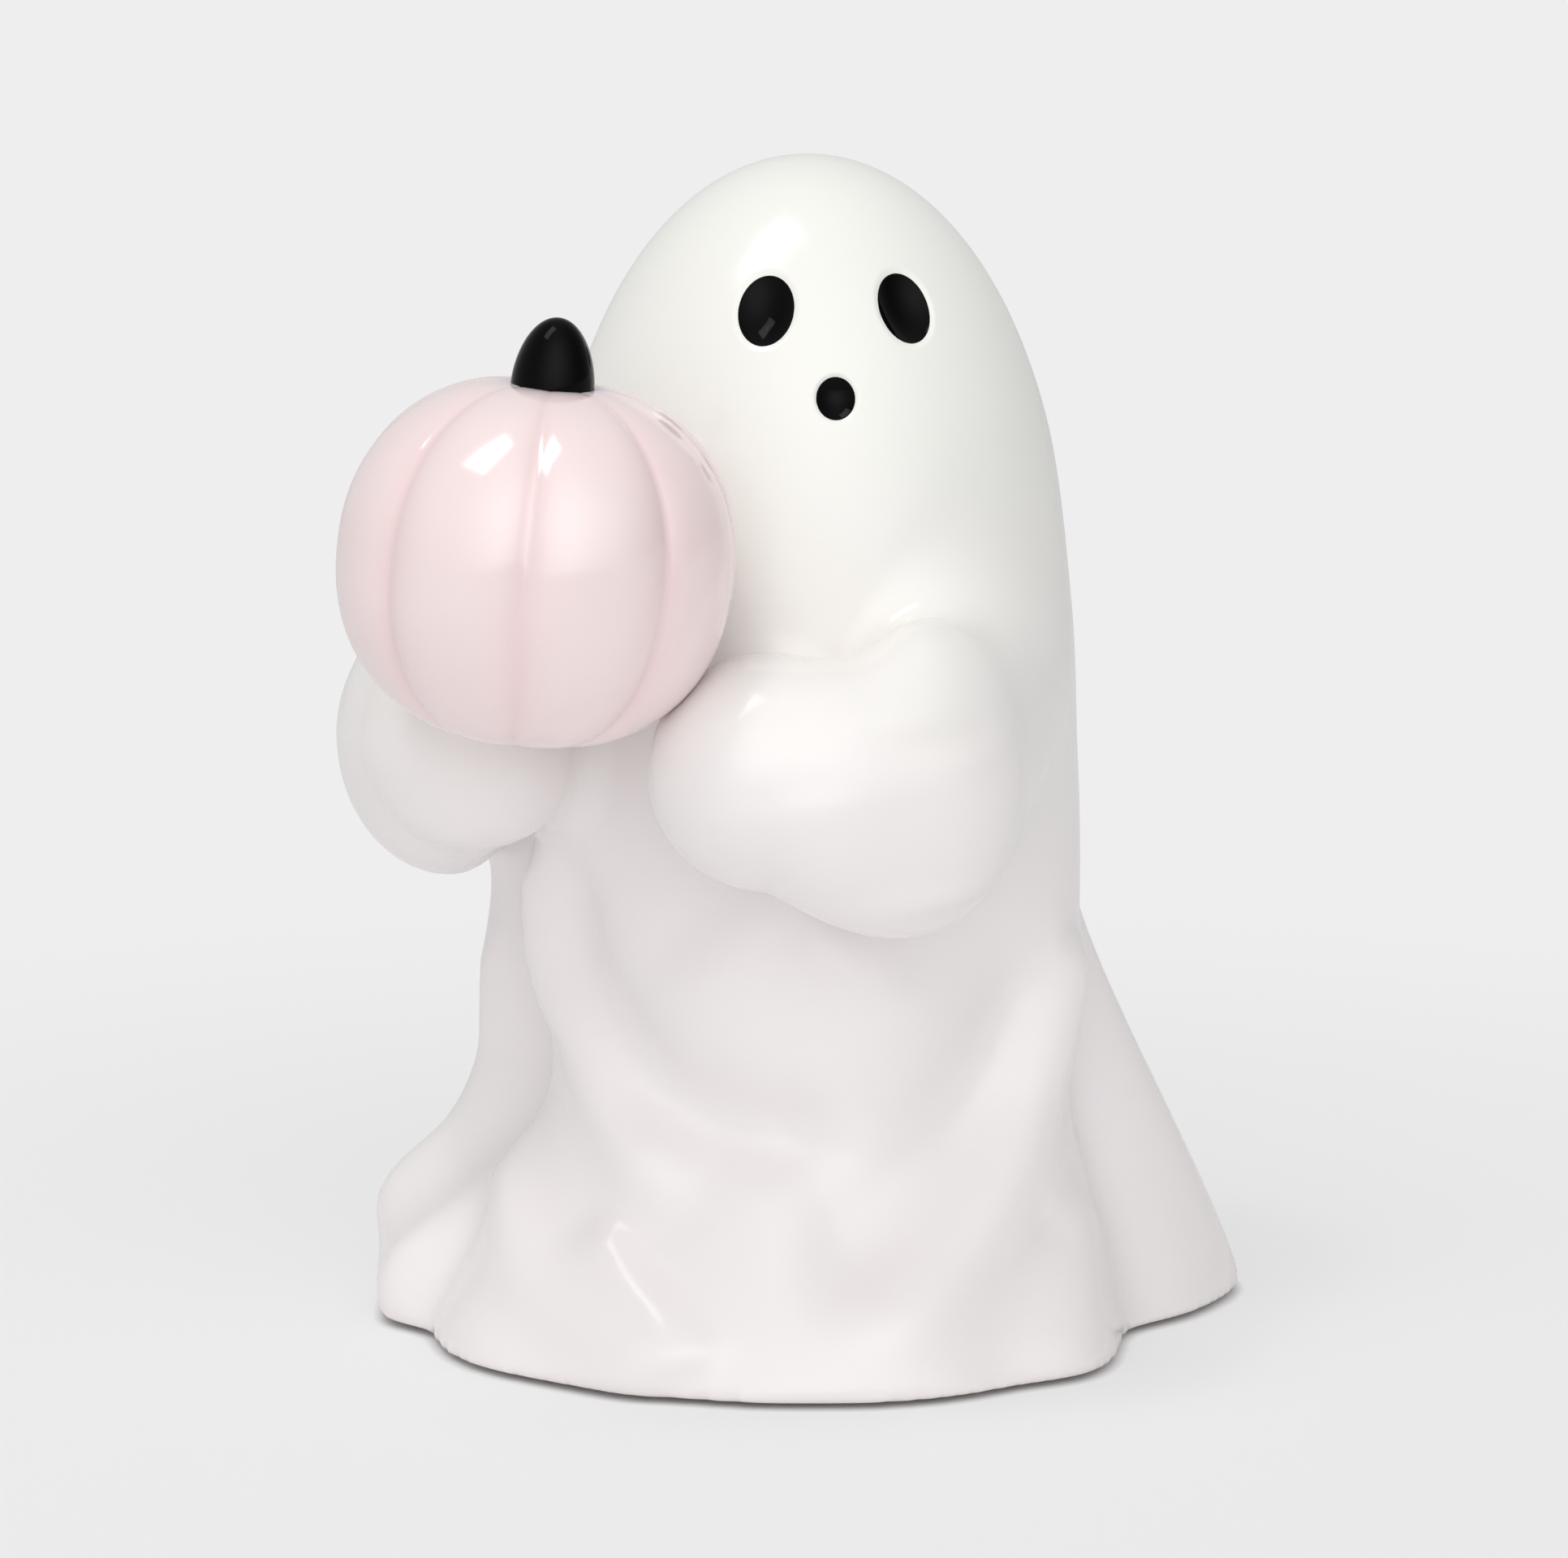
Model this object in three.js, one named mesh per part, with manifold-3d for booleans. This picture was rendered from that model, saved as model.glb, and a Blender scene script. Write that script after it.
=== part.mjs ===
// A glazed ceramic ghost under a sheet that holds out a ribbed pumpkin. Millimetres, +Z up.
// While it is modelled the ghost's axis is x = y = 0 and the hem lies on z = 0.
// Azimuths are degrees round that axis: 0 points to -Y, where the face looks, and 90 points to +X.
import * as THREE from 'three';
import { mergeVertices } from 'three/addons/utils/BufferGeometryUtils.js';
import Module from 'manifold-3d';

const wasm = await Module();
wasm.setup();

// Fits
const jointGap = 0.3; // glaze line left between two pieces that are fired together

// Ghost, cast hollow
const ghostHeight = 150;
const bodyRadius = 35.2;
const domeStart = 60; // height where the straight body begins to draw in
const domePower = 3;
const wall = 4;
const floorThickness = 4;
const hemRound = 1.2;
const ventRadius = 6; // drain and vent hole of the casting, in the floor

// Skirt: the hem's plain circle, and the lobes and notches of the draped sheet round it
const hemRadius = 50;
const skirtTop = 34; // height where the plain skirt leaves the body
const skirtBow = 1.25; // above 1 the skirt drops more steeply at the hem
const skirtCurve = 1.6; // above 1 the skirt leaves the body more gently
const hemLobes = [
  { azimuth: 103, spread: 15, reach: 8.5, lift: 22, ease: -0.3 }, // the train, trailing to the right
  { azimuth: 66, spread: 12, reach: -4.5, lift: 0, ease: 0 }, // notch in front of the train
  { azimuth: -56, spread: 17, reach: 3, lift: 5, ease: 0 }, // front left lobe
  { azimuth: -104, spread: 17, reach: 1.5, lift: 0, ease: 0 }, // left lobe
  { azimuth: -150, spread: 18, reach: 3.5, lift: 14, ease: -0.2 },
  { azimuth: 152, spread: 18, reach: 3, lift: 12, ease: -0.2 },
];

// Folds of the sheet: points are [azimuth, height], rise is outward, and a fold is a soft ridge
// or valley whose half widths below and above its line are given apart
const sheetFolds = {
  apronSwell: {
    rise: 2.0, below: 11, above: 16,
    points: [[-26, 58], [-12, 48], [-3, 44], [8, 46], [22, 56]],
  },
  leftHipRidge: {
    rise: 3.2, below: 4.5, above: 5,
    points: [[-80, 70], [-77, 60], [-70, 49], [-57, 42], [-47, 36], [-34, 28], [-20, 22]],
  },
  leftSwagValley: {
    rise: -3.6, below: 4.5, above: 7,
    points: [[-66, 66], [-61, 58], [-56, 49], [-45, 41], [-32, 34], [-18, 31], [-2, 30], [14, 32]],
  },
  leftOuterSwag: {
    rise: 2.8, below: 5.5, above: 3.5,
    points: [[-80, 38], [-71, 26], [-52, 16], [-38, 10], [-28, 6], [-16, 3]],
  },
  leftInnerSwag: {
    rise: 2.4, below: 4, above: 2.5,
    points: [[-42, 21], [-29, 13], [-21, 9], [-14, 3]],
  },
  rightSwagRidge: {
    rise: 3.0, below: 6.5, above: 5.5,
    points: [[74, 54], [72, 48], [63, 40], [52, 31], [40, 25], [24, 19], [11, 10], [-2, 4]],
  },
  rightSwagValley: {
    rise: -3.8, below: 4.5, above: 10,
    points: [[62, 54], [52, 45], [42, 36], [32, 28], [21, 21], [9, 16], [-6, 13]],
  },
  rightHemValley: {
    rise: -1.2, below: 5, above: 5,
    points: [[54, 20], [43, 13], [34, 7], [27, -2]],
  },
  rightHemRidge: {
    rise: 1.2, below: 5, above: 5,
    points: [[68, 20], [58, 14], [48, 8], [40, -2]],
  },
  trainCrease: {
    rise: -2.6, below: 4.5, above: 5,
    points: [[84, 50], [83, 40], [79, 20], [75, 6], [72, -5]],
  },
  sideDrape: {
    rise: 8.6, below: 13, above: 5.5,
    points: [[-103, 78], [-102, 62], [-101, 45], [-101, 25], [-100, 4]],
  },
  leftRoll: {
    rise: 8.2, below: 12.5, above: 8.5,
    points: [[-142, 10], [-122, 10], [-102, 10], [-86, 9], [-70, 8]],
  },
  leftCrease: {
    rise: -7.5, below: 5.5, above: 4.5,
    points: [[-90, 72], [-87, 52], [-82, 37], [-72, 20]],
  },
  backLeftCrease: {
    rise: -2.0, below: 5, above: 5,
    points: [[-126, 52], [-127, 25], [-124, -5]],
  },
  backCrease: {
    rise: -2.2, below: 5, above: 5,
    points: [[178, 48], [176, 25], [180, -5]],
  },
  backRightCrease: {
    rise: -2.0, below: 5, above: 5,
    points: [[128, 52], [130, 25], [128, -5]],
  },
};
const foldFade = 0.18; // share of a fold's length over which each of its ends dies away

// Pumpkin, cast hollow and held against the ghost
const holdAzimuth = -35.4; // the way the arms reach
const pumpkinRadius = 24.7;
const pumpkinHalfHeight = 22.6;
const pumpkinHeight = 105; // of its centre
const pumpkinLean = 5.5; // degrees, to the right
const pumpkinPress = 0.8; // how far its side is flattened where it leans on the ghost
const ribCount = 8;
const ribTurn = -2; // azimuth of the groove that faces the viewer
const grooveDepth = 1.8;
const grooveSharpness = 3.4;
const pumpkinSquareness = 0.9; // below 1 its shoulders are fuller than an ellipse's
const crownDip = 1.6;
const crownRadius = 6;
const pumpkinWall = 3.2;
const drainRadius = 4;

// Stem, a blunt nub set into the pumpkin's crown
const stemRadius = 5.1;
const stemHeight = 8.8; // above the bottom of the crown's dip
const stemBluntness = 2.1; // 2 is an ellipse, and more is blunter
const stemSeat = 1.5; // how far its foot runs on below the dip, before it is cut to fit

// Arms under the sheet, one the mirror of the other about the way they reach
const handRadius = 14.6;
const handPress = 1.2; // how far the hand is hollowed where it cups the pumpkin
const handRound = 54.4; // degrees round the pumpkin, from the ghost's side of it towards the hand
const handDrop = 43; // degrees below the pumpkin's middle
// Each station: turn from the reach, distance from the body's side, height over the hand's middle,
// and half sizes above, below, away from the ghost and towards it
const armStations = [
  { turn: 118, stand: -10, rise: 8, above: 8, below: 8, outer: 10, inner: 8 },
  { turn: 98, stand: -7.5, rise: 6, above: 10.5, below: 8, outer: 10.5, inner: 9 },
  { turn: 80, stand: -3, rise: 2.5, above: 14, below: 15, outer: 9.6, inner: 9 },
  { turn: 63, stand: 3.5, rise: -1, above: 18.5, below: 16.6, outer: 10.6, inner: 10 },
  { turn: 52, stand: 9.5, rise: -3.5, above: 21.6, below: 17.4, outer: 13, inner: 9.5 },
  { turn: 41, stand: 11.8, rise: -1.2, above: 15.4, below: 18.2, outer: 14.2, inner: 11 },
];

// Face, pressed into the cast and glazed black
const faceAzimuth = 8.8;
const eyeSpacing = 43; // degrees from eye to eye
const eyeDrop = 17; // below the crown of the head
const eyeWide = 7;
const eyeTall = 9.4;
const eyeLeans = { right: 0, left: 2 }; // degrees by which each eye's top leans to +X
const mouthAzimuth = 6.9;
const mouthDrop = 27.4;
const mouthWide = 4.8;
const mouthTall = 5.4;
const mouthLean = 4;
const pocketDepth = 2.2;
const glazeRim = 0.4; // flat rim of black glaze round each dished middle
const glazeThickness = 0.9;
const glazeSetback = 0.2; // black glaze lies this far under the white

// Felt pads on the unglazed base
const padRadius = 5;
const padThickness = 0.8;
const padRecess = 0.6; // how deep the pads are let into the base
const padInset = 9; // from the hem's plain circle to the pad's edge
const padAzimuths = [-45, 45, 135, -135];

// Facets
const frontSides = 54;
const backSides = 18;
const frontArc = 220; // degrees of the front over which the sheet has its closer facets
const skirtRows = 20;
const domeRows = 12;
const foldPieces = 4; // straight pieces between two points of a fold
const hollowSides = 30;
const hollowRows = 7;
const ribSides = 6; // facets across one rib
const pumpkinRows = 16;
const pumpkinHollowSides = 24;
const pumpkinHollowRows = 9;
const stemSides = 20;
const stemRows = 8;
const armSides = 24;
const armRows = 16;
const handRows = 6;
const lensSides = 18;
const lensRows = 10;
const ventSides = 32;
const drainSides = 20;
const padSides = 28;
const degrees = Math.PI / 180;

const white = new THREE.MeshStandardMaterial({ color: 0xf3f1ef, roughness: 0.12, metalness: 0 });
const pink = new THREE.MeshStandardMaterial({ color: 0xecd6d7, roughness: 0.14, metalness: 0 });
const black = new THREE.MeshStandardMaterial({ color: 0x0b0b0d, roughness: 0.06, metalness: 0 });
const felt = new THREE.MeshStandardMaterial({ color: 0xb8b4ad, roughness: 0.95, metalness: 0 });

// A point at an azimuth, a distance from the ghost's axis and a height
function around(azimuth, radius, height) {
  const turn = azimuth * degrees;
  return new THREE.Vector3(radius * Math.sin(turn), -radius * Math.cos(turn), height);
}

// 1 at the middle azimuth, falling smoothly to 0 on both sides
function bell(azimuth, middle, spread) {
  const turn = THREE.MathUtils.euclideanModulo(azimuth - middle + 180, 360) - 180;
  return Math.exp(-((turn / spread) ** 2));
}

// Each fold as a smooth line on the body unrolled flat, x along the wall and y up
const alongWall = (azimuth) => azimuth * degrees * bodyRadius;
const foldLines = Object.values(sheetFolds).map((fold) => {
  const flat = fold.points.map(([azimuth, height]) => new THREE.Vector3(alongWall(azimuth), height, 0));
  const line = new THREE.CatmullRomCurve3(flat).getPoints(foldPieces * (flat.length - 1));
  return { ...fold, line, middle: fold.points[Math.floor(fold.points.length / 2)][0] };
});

// How far one fold lifts the sheet at an azimuth and height
function foldRise(fold, azimuth, height) {
  const near = THREE.MathUtils.euclideanModulo(azimuth - fold.middle + 180, 360) - 180 + fold.middle;
  const x = alongWall(near);
  let best = { distance: Infinity, side: 1, along: 0 };
  for (let i = 0; i < fold.line.length - 1; i++) {
    const a = fold.line[i];
    const b = fold.line[i + 1];
    const run = new THREE.Vector2(b.x - a.x, b.y - a.y);
    const out = new THREE.Vector2(x - a.x, height - a.y);
    const share = THREE.MathUtils.clamp(out.dot(run) / run.lengthSq(), 0, 1);
    const distance = Math.hypot(out.x - share * run.x, out.y - share * run.y);
    if (distance < best.distance) {
      best = { distance, side: Math.sign(run.cross(out)), along: (i + share) / (fold.line.length - 1) };
    }
  }
  const leftward = fold.line.at(-1).x < fold.line[0].x;
  const above = leftward ? best.side < 0 : best.side > 0;
  const ends = Math.min(best.along, 1 - best.along) / foldFade;
  const fade = THREE.MathUtils.smoothstep(ends, 0, 1);
  return fold.rise * fade * Math.exp(-((best.distance / (above ? fold.above : fold.below)) ** 2));
}

// The body of revolution under the sheet's folds
function bodyRadiusAt(height) {
  const share = THREE.MathUtils.clamp((height - domeStart) / (ghostHeight - domeStart), 0, 1);
  return bodyRadius * Math.sqrt(1 - share ** domePower);
}

// The sheet's distance from the axis, with its skirt, lobes and folds
function sheetRadius(azimuth, height) {
  let reach = hemRadius - bodyRadius;
  let top = skirtTop;
  let curve = skirtCurve;
  for (const lobe of hemLobes) {
    const share = bell(azimuth, lobe.azimuth, lobe.spread);
    reach += lobe.reach * share;
    top += lobe.lift * share;
    curve += lobe.ease * share;
  }
  const rise = THREE.MathUtils.clamp(height / top, 0, 1);
  let radius = bodyRadiusAt(height) + reach * (1 - rise ** skirtBow) ** curve;
  for (const fold of foldLines) {
    radius += foldRise(fold, azimuth, height);
  }
  return radius;
}

// A closed skin through rings of points; the first and last rings are single points
function skin(rings) {
  const starts = [];
  const positions = [];
  for (const ring of rings) {
    starts.push(positions.length / 3);
    ring.forEach((point) => positions.push(point.x, point.y, point.z));
  }
  const faces = [];
  for (let r = 0; r < rings.length - 1; r++) {
    const sides = Math.max(rings[r].length, rings[r + 1].length);
    for (let i = 0; i < sides; i++) {
      const j = (i + 1) % sides;
      const [a, b] = [i, j].map((k) => starts[r] + (k % rings[r].length));
      const [c, d] = [i, j].map((k) => starts[r + 1] + (k % rings[r + 1].length));
      if (c !== d) faces.push(a, c, d);
      if (a !== b) faces.push(a, d, b);
    }
  }
  const geometry = new THREE.BufferGeometry();
  geometry.setAttribute('position', new THREE.Float32BufferAttribute(positions, 3));
  geometry.setIndex(faces);
  return geometry;
}

// Solids that can be cut and joined
function solid(geometry) {
  const bare = geometry.clone();
  bare.deleteAttribute('normal');
  bare.deleteAttribute('uv');
  const merged = mergeVertices(bare, 1e-4);
  return new wasm.Manifold(new wasm.Mesh({
    numProp: 3,
    vertProperties: new Float32Array(merged.attributes.position.array),
    triVerts: new Uint32Array(merged.index.array),
  }));
}

function geometryOf(manifold) {
  const { vertProperties, triVerts } = manifold.getMesh();
  const geometry = new THREE.BufferGeometry();
  geometry.setAttribute('position', new THREE.BufferAttribute(vertProperties, 3));
  geometry.setIndex(new THREE.BufferAttribute(triVerts, 1));
  geometry.computeVertexNormals();
  return geometry;
}

// Rows of the sheet from its crown to its hem: even turns over the dome, then even steps down the skirt
const sheetHeights = [];
for (let row = domeRows - 1; row > 0; row--) {
  const turn = (row / domeRows) * 90 * degrees;
  sheetHeights.push(domeStart + (ghostHeight - domeStart) * Math.sin(turn) ** (2 / domePower));
}
for (let row = skirtRows; row >= 0; row--) {
  sheetHeights.push(hemRound + ((domeStart - hemRound) * row) / skirtRows);
}

// Azimuths of the sheet's facets, closer over its front
const sheetAzimuths = [];
for (let i = 0; i < frontSides; i++) {
  sheetAzimuths.push(-frontArc / 2 + (frontArc * i) / frontSides);
}
for (let i = 0; i < backSides; i++) {
  sheetAzimuths.push(frontArc / 2 + ((360 - frontArc) * i) / backSides);
}

function sheetRing(height, offset) {
  return sheetAzimuths.map((azimuth) => around(azimuth, sheetRadius(azimuth, height) + offset, height));
}

// The solid under the sheet's outer face, grown by an offset; it cuts what touches the sheet
function sheetSolid(offset) {
  const rings = [[new THREE.Vector3(0, 0, ghostHeight + offset)]];
  sheetHeights.forEach((height) => rings.push(sheetRing(height, offset)));
  rings.push(sheetRing(0, offset - hemRound).map((point) => point.setZ(-offset)));
  rings.push([new THREE.Vector3(0, 0, -offset)]);
  return solid(skin(rings));
}

// The hollow that the cast leaves over its floor, a wall's thickness inside the sheet
function castHollow() {
  const azimuths = Array.from({ length: hollowSides }, (_, i) => (i * 360) / hollowSides);
  const rings = [[new THREE.Vector3(0, 0, ghostHeight - wall)]];
  for (let row = hollowRows - 1; row >= 0; row--) {
    const turn = (row / hollowRows) * 90 * degrees;
    const height = domeStart + (ghostHeight - wall - domeStart) * Math.sin(turn) ** (2 / domePower);
    const radius = (bodyRadius - wall) * Math.cos(turn);
    rings.push(azimuths.map((azimuth) => around(azimuth, radius, height)));
  }
  for (let row = hollowRows - 1; row >= 0; row--) {
    const height = floorThickness + ((domeStart - floorThickness) * row) / hollowRows;
    rings.push(azimuths.map((azimuth) => around(azimuth, sheetRadius(azimuth, height) - wall, height)));
  }
  rings.push([new THREE.Vector3(0, 0, floorThickness)]);
  return solid(skin(rings));
}

function ventHole() {
  const vent = new THREE.CylinderGeometry(ventRadius, ventRadius, 3 * floorThickness, ventSides);
  vent.rotateX(Math.PI / 2);
  return solid(vent);
}

// Pumpkin in its own frame, stem up: the point at an azimuth and a turn from the crown
function pumpkinPoint(azimuth, fromCrown, inset, ribs) {
  const rib = THREE.MathUtils.euclideanModulo((azimuth - ribTurn) * ribCount / 360, 1) * 2 - 1;
  const groove = ribs * grooveDepth * Math.abs(rib) ** grooveSharpness * Math.sin(fromCrown) ** 0.5;
  const radius = (pumpkinRadius - inset) * Math.sin(fromCrown) ** pumpkinSquareness - groove;
  const half = Math.sign(Math.cos(fromCrown));
  const bare = (pumpkinHalfHeight - inset) * half * Math.abs(Math.cos(fromCrown)) ** pumpkinSquareness;
  const dip = crownDip * Math.exp(-((radius / crownRadius) ** 2)) * half;
  return around(azimuth, Math.max(radius, 0), bare - dip);
}

// The closed skin of the pumpkin, grown by an offset or drawn in by an inset
function pumpkinSolid(inset, ribs, sides, rows) {
  const rings = [];
  for (let row = 0; row <= rows; row++) {
    const fromCrown = (row / rows) * Math.PI;
    if (row === 0 || row === rows) {
      const bare = (pumpkinHalfHeight - inset - crownDip) * (row === 0 ? 1 : -1);
      rings.push([new THREE.Vector3(0, 0, bare)]);
    } else {
      rings.push(Array.from({ length: sides }, (_, i) =>
        pumpkinPoint(ribTurn + (i * 360) / sides, fromCrown, inset, ribs)));
    }
  }
  return solid(skin(rings));
}

function pumpkinSkin(offset) {
  return pumpkinSolid(-offset, 1, ribCount * ribSides, pumpkinRows);
}

// The pumpkin's cast shell, with its drain hole underneath
function pumpkinShell() {
  const drain = new THREE.CylinderGeometry(drainRadius, drainRadius, pumpkinHalfHeight, drainSides);
  drain.rotateX(Math.PI / 2);
  drain.translate(0, 0, -pumpkinHalfHeight);
  const hollow = pumpkinSolid(pumpkinWall + grooveDepth, 0, pumpkinHollowSides, pumpkinHollowRows);
  return pumpkinSkin(0).subtract(hollow).subtract(solid(drain));
}

// Where the pumpkin is held: against the ghost's side, along the reach
const holdDistance = bodyRadiusAt(pumpkinHeight) + pumpkinRadius - pumpkinPress;
const pumpkinCentre = around(holdAzimuth, holdDistance, pumpkinHeight);
const pumpkinPlace = new THREE.Matrix4().makeRotationY(pumpkinLean * degrees).setPosition(pumpkinCentre);

function place(manifold, matrix) {
  return manifold.transform(matrix.elements);
}

// The stem's nub on the crown's dip
function stemSolid() {
  const dip = pumpkinHalfHeight - crownDip;
  const outline = [new THREE.Vector2(0, dip - stemSeat), new THREE.Vector2(stemRadius, dip - stemSeat)];
  for (let row = 0; row < stemRows; row++) {
    const share = Math.sin((row / stemRows) * 90 * degrees);
    const radius = stemRadius * Math.sqrt(1 - share ** stemBluntness);
    outline.push(new THREE.Vector2(radius, dip + stemHeight * share));
  }
  outline.push(new THREE.Vector2(0, dip + stemHeight));
  const nub = new THREE.LatheGeometry(outline, stemSides);
  nub.rotateX(Math.PI / 2);
  return solid(nub).subtract(pumpkinSkin(jointGap));
}

// An arm and its hand as rings along a curve; side is 1 for the ghost's left and -1 for its right
function armSolid(side) {
  const reach = pumpkinRadius + handRadius - handPress;
  const level = reach * Math.cos(handDrop * degrees);
  const handAhead = holdDistance - level * Math.cos(handRound * degrees);
  const handAside = level * Math.sin(handRound * degrees);
  const handHeight = pumpkinHeight - reach * Math.sin(handDrop * degrees);
  const hand = {
    turn: Math.atan2(handAside, handAhead) / degrees,
    stand: Math.hypot(handAside, handAhead) - bodyRadiusAt(handHeight),
    rise: 0,
    above: handRadius,
    below: handRadius,
    outer: handRadius,
    inner: handRadius,
  };
  const stations = [...armStations, hand];
  const centres = new THREE.CatmullRomCurve3(stations.map((station) => {
    const height = handHeight + station.rise;
    return around(holdAzimuth + side * station.turn, bodyRadiusAt(height) + station.stand, height);
  }));
  const heights = new THREE.CatmullRomCurve3(stations.map((station) =>
    new THREE.Vector3(station.above, station.below, 0)));
  const widths = new THREE.CatmullRomCurve3(stations.map((station) =>
    new THREE.Vector3(station.outer, station.inner, 0)));
  const up = new THREE.Vector3(0, 0, 1);

  // An upright ring round the path's point at a share of its length, moved ahead and made smaller
  function ring(share, ahead, scale) {
    const level = centres.getTangent(share).setZ(0).normalize();
    const outward = new THREE.Vector3().crossVectors(level, up).multiplyScalar(-side);
    const centre = centres.getPoint(share).addScaledVector(level, ahead);
    const tall = heights.getPoint(share).multiplyScalar(scale);
    const wide = widths.getPoint(share).multiplyScalar(scale);
    return Array.from({ length: armSides }, (_, i) => {
      const angle = (-side * i * 2 * Math.PI) / armSides;
      const across = Math.cos(angle) * (Math.cos(angle) > 0 ? wide.x : wide.y);
      const raised = Math.sin(angle) * (Math.sin(angle) > 0 ? tall.x : tall.y);
      return centre.clone().addScaledVector(outward, across).addScaledVector(up, raised);
    });
  }

  const rings = [[centres.getPoint(0)]];
  for (let row = 0; row <= armRows; row++) {
    rings.push(ring(row / armRows, 0, 1));
  }
  for (let row = 1; row < handRows; row++) {
    const turn = (row / handRows) * 90 * degrees;
    rings.push(ring(1, handRadius * Math.sin(turn), Math.cos(turn)));
  }
  const tip = ring(1, handRadius, 0)[0];
  rings.push([tip]);
  return solid(skin(rings))
    .subtract(sheetSolid(jointGap))
    .subtract(place(pumpkinSkin(jointGap), pumpkinPlace));
}

// An upright oval lens on the sheet, its thickness along the surface's normal
function faceLens(feature, wide, tall, deep) {
  const step = 0.5;
  const height = ghostHeight - feature.drop;
  const point = around(feature.azimuth, bodyRadiusAt(height), height);
  const above = around(feature.azimuth, bodyRadiusAt(height + step), height + step);
  const upward = above.sub(point).normalize();
  const sideways = around(feature.azimuth + 90, 1, 0);
  const outward = new THREE.Vector3().crossVectors(sideways, upward);
  const basis = new THREE.Matrix4().makeBasis(sideways, upward, outward);
  const lean = new THREE.Matrix4().makeRotationZ(-feature.lean * degrees);
  const lens = new THREE.SphereGeometry(1, lensSides, lensRows);
  lens.scale(wide / 2, tall / 2, deep);
  lens.applyMatrix4(basis.multiply(lean).setPosition(point));
  return solid(lens);
}

const eye = { drop: eyeDrop, wide: eyeWide, tall: eyeTall };
const mouth = { drop: mouthDrop, wide: mouthWide, tall: mouthTall };
const features = [
  { name: 'right_eye', ...eye, azimuth: faceAzimuth - eyeSpacing / 2, lean: eyeLeans.right },
  { name: 'left_eye', ...eye, azimuth: faceAzimuth + eyeSpacing / 2, lean: eyeLeans.left },
  { name: 'mouth', ...mouth, azimuth: mouthAzimuth, lean: mouthLean },
];

function facePocket(feature) {
  const { wide, tall } = feature;
  return faceLens(feature, wide + 2 * jointGap, tall + 2 * jointGap, pocketDepth + jointGap);
}

function faceGlaze(feature) {
  const { wide, tall } = feature;
  const bed = faceLens(feature, wide, tall, pocketDepth);
  const dish = faceLens(feature, wide - 2 * glazeRim, tall - 2 * glazeRim, pocketDepth - glazeThickness);
  return bed.intersect(sheetSolid(-glazeSetback)).subtract(dish);
}

const figure = new THREE.Group();

function add(name, manifold, material) {
  const mesh = new THREE.Mesh(geometryOf(manifold), material);
  mesh.name = name;
  figure.add(mesh);
}

// A round piece under the base, at one of the pads' places, from a height upwards
function padDisc(azimuth, radius, bottom, thickness) {
  const disc = new THREE.CylinderGeometry(radius, radius, thickness, padSides);
  disc.rotateX(Math.PI / 2);
  const centre = around(azimuth, hemRadius - padInset - padRadius, bottom + thickness / 2);
  disc.translate(centre.x, centre.y, centre.z);
  return solid(disc);
}

let ghostBody = sheetSolid(0).subtract(castHollow()).subtract(ventHole());
for (const feature of features) {
  ghostBody = ghostBody.subtract(facePocket(feature));
}
for (const azimuth of padAzimuths) {
  ghostBody = ghostBody.subtract(padDisc(azimuth, padRadius + jointGap, -padRecess, 2 * padRecess));
}
add('ghost_body', ghostBody, white);
add('left_arm', armSolid(1), white);
add('right_arm', armSolid(-1), white);
add('pumpkin', place(pumpkinShell(), pumpkinPlace).subtract(sheetSolid(jointGap)), pink);
add('pumpkin_stem', place(stemSolid(), pumpkinPlace), black);
features.forEach((feature) => add(feature.name, faceGlaze(feature), black));

padAzimuths.forEach((azimuth, index) => {
  const bottom = padRecess - jointGap - padThickness;
  add(`foot_pad_${index + 1}`, padDisc(azimuth, padRadius, bottom, padThickness), felt);
});

// The origin is the middle of the figure's footprint box, on the surface it stands on
const extent = new THREE.Box3().setFromObject(figure);
const middle = extent.getCenter(new THREE.Vector3());
figure.position.set(-middle.x, -middle.y, -extent.min.z);
figure.updateMatrixWorld(true);

export default figure;
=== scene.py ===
import math

import bmesh
import bpy
import numpy as np
from mathutils import Matrix, Vector
from mathutils.bvhtree import BVHTree


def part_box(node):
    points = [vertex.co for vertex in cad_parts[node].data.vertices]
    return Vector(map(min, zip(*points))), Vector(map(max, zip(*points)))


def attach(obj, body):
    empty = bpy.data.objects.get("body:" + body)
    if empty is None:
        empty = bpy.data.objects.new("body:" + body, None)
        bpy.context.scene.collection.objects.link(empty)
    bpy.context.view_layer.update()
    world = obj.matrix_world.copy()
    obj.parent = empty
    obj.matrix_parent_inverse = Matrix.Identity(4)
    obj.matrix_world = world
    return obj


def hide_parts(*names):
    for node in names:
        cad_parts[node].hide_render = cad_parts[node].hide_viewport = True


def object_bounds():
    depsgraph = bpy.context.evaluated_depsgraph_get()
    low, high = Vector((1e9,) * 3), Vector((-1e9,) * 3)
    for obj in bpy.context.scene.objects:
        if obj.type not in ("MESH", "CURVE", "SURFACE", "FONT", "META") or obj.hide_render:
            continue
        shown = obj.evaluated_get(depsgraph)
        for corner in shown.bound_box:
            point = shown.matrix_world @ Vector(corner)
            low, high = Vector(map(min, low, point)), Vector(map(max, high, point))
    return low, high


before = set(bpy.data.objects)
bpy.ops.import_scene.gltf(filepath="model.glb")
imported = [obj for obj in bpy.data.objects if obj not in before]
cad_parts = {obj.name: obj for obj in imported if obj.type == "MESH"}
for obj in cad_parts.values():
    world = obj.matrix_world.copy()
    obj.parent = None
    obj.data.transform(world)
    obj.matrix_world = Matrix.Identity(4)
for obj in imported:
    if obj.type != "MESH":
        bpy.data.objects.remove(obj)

cadLow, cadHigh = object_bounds()
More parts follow.
